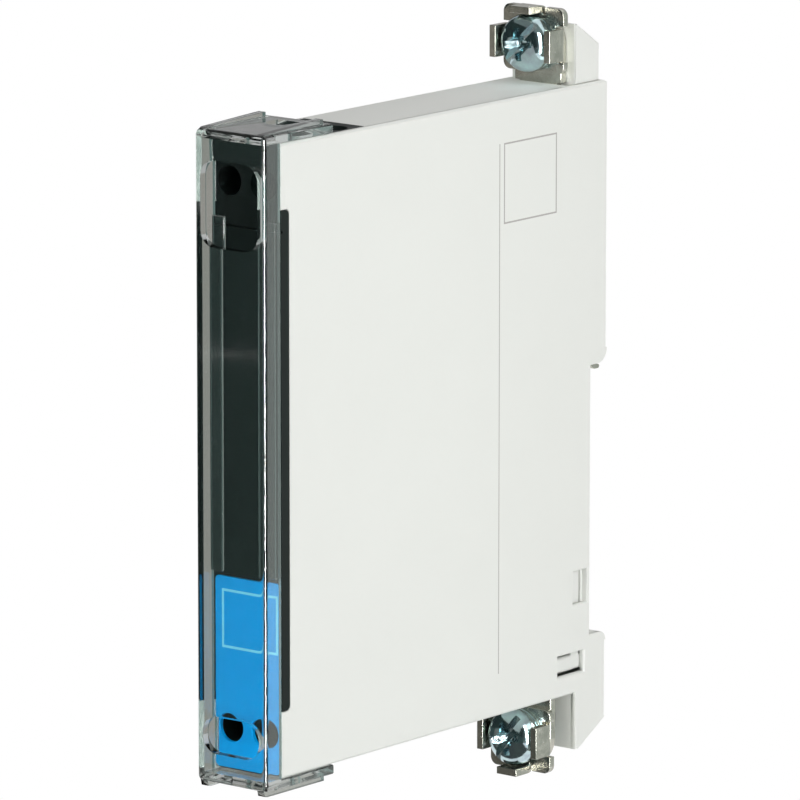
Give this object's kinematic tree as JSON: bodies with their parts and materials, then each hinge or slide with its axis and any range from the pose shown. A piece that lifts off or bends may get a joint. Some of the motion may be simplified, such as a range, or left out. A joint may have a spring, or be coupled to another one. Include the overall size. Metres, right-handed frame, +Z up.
{
  "type": "safety barrier",
  "caption": "Slim safety barrier for a mounting rail: pale housing, clear pull-off cover over a dark terminal block, blue plate, earth screws with claw washers, sprung rail latch.",
  "frame": {"origin": "middle of the rail seat: middle of the housing's width, on the face that lies on the rail, at the rail's middle height", "axes": "+Z up along the housing's height, +Y from the terminals to the rail, +X along the rail towards the lid"},
  "size_m": [0.012, 0.0735, 0.1071],
  "materials": {
    "housing_plastic": "fine moulded matt, pale warm grey",
    "block_plastic": "moulded, near black",
    "plate_plastic": "smooth, blue",
    "cover_plastic": "clear polycarbonate, polished",
    "latch_plastic": "moulded, white",
    "nickel": "nickel-plated sheet, warm grey",
    "zinc": "blue-passivated zinc plating",
    "tinned_copper": "tin-plated",
    "spring_steel": "bright wire",
    "board": "green solder mask",
    "diode_case": "moulded black",
    "resistor_case": "blue lacquer",
    "fuse_case": "pale ceramic"
  },
  "bodies": {
    "housing": {"housing_shell": "housing_plastic", "housing_lid": "housing_plastic", "terminal_block": "block_plastic", "marking_plate": "plate_plastic", "earth_bar": "nickel", "rail_hook": "nickel", "latch_spring": "spring_steel", "circuit_board": "board", "contact_bar_1": "tinned_copper", "zener_diode_1": "diode_case", "resistor_1": "resistor_case", "contact_bar_2": "tinned_copper", "zener_diode_2": "diode_case", "resistor_2": "resistor_case", "contact_bar_3": "tinned_copper", "zener_diode_3": "diode_case", "resistor_3": "resistor_case", "contact_bar_4": "tinned_copper", "zener_diode_4": "diode_case", "resistor_4": "resistor_case", "fuse_1": "fuse_case", "fuse_2": "fuse_case"},
    "cover": {"front_cover": "cover_plastic"},
    "latch": {"rail_latch": "latch_plastic"},
    "screw_1": {"terminal_screw_1": "zinc"},
    "cage_1": {"terminal_cage_1": "nickel"},
    "screw_2": {"terminal_screw_2": "zinc"},
    "cage_2": {"terminal_cage_2": "nickel"},
    "screw_3": {"terminal_screw_3": "zinc"},
    "cage_3": {"terminal_cage_3": "nickel"},
    "screw_4": {"terminal_screw_4": "zinc"},
    "cage_4": {"terminal_cage_4": "nickel"},
    "clamp_top": {"clamp_washer_top": "nickel", "spring_washer_top": "zinc"},
    "earth_top": {"earth_screw_top": "zinc"},
    "clamp_bottom": {"clamp_washer_bottom": "nickel", "spring_washer_bottom": "zinc"},
    "earth_bottom": {"earth_screw_bottom": "zinc"}
  },
  "joints": [
    {"name": "cover_pull", "type": "slide", "parent": "housing", "child": "cover", "axis": [0, -1, 0], "range_m": [0, 0.018]},
    {"name": "latch_slide", "type": "slide", "parent": "housing", "child": "latch", "axis": [0, 0, -1], "range_m": [0, 0.0019], "stiffness_N_per_m": 400, "springref_m": -0.004, "deforming": ["latch_spring"]},
    {"name": "screw_turn_1", "type": "hinge", "parent": "housing", "child": "screw_1", "pos_m": [-0.0028, -0.0605, 0.0513], "axis": [0, 1, 0], "range_deg": [0, 2080]},
    {"name": "cage_rise_1", "type": "slide", "parent": "housing", "child": "cage_1", "axis": [0, -1, 0], "range_m": [0, 0.0026]},
    {"name": "screw_turn_2", "type": "hinge", "parent": "housing", "child": "screw_2", "pos_m": [0.0028, -0.0605, 0.0513], "axis": [0, 1, 0], "range_deg": [0, 2080]},
    {"name": "cage_rise_2", "type": "slide", "parent": "housing", "child": "cage_2", "axis": [0, -1, 0], "range_m": [0, 0.0026]},
    {"name": "screw_turn_3", "type": "hinge", "parent": "housing", "child": "screw_3", "pos_m": [-0.0028, -0.0605, -0.0224], "axis": [0, 1, 0], "range_deg": [0, 2080]},
    {"name": "cage_rise_3", "type": "slide", "parent": "housing", "child": "cage_3", "axis": [0, -1, 0], "range_m": [0, 0.0026]},
    {"name": "screw_turn_4", "type": "hinge", "parent": "housing", "child": "screw_4", "pos_m": [0.0028, -0.0605, -0.0224], "axis": [0, 1, 0], "range_deg": [0, 2080]},
    {"name": "cage_rise_4", "type": "slide", "parent": "housing", "child": "cage_4", "axis": [0, -1, 0], "range_m": [0, 0.0026]},
    {"name": "clamp_lift_top", "type": "slide", "parent": "housing", "child": "clamp_top", "axis": [0, -1, 0], "range_m": [0, 0.002]},
    {"name": "earth_turn_top", "type": "hinge", "parent": "clamp_top", "child": "earth_top", "pos_m": [0, -0.0043, 0.0627], "axis": [0, -1, 0], "range_deg": [0, 1028.6]},
    {"name": "clamp_lift_bottom", "type": "slide", "parent": "housing", "child": "clamp_bottom", "axis": [0, -1, 0], "range_m": [0, 0.002]},
    {"name": "earth_turn_bottom", "type": "hinge", "parent": "clamp_bottom", "child": "earth_bottom", "pos_m": [0, -0.0067, -0.034], "axis": [0, -1, 0], "range_deg": [0, 1028.6]}
  ],
  "couplings": [
    {"joint": "screw_turn_1", "follows": "cage_rise_1", "rad_per_m": 13962},
    {"joint": "screw_turn_2", "follows": "cage_rise_2", "rad_per_m": 13962},
    {"joint": "screw_turn_3", "follows": "cage_rise_3", "rad_per_m": 13962},
    {"joint": "screw_turn_4", "follows": "cage_rise_4", "rad_per_m": 13962},
    {"joint": "earth_turn_top", "follows": "clamp_lift_top", "rad_per_m": 8975.9},
    {"joint": "earth_turn_bottom", "follows": "clamp_lift_bottom", "rad_per_m": 8975.9}
  ]
}
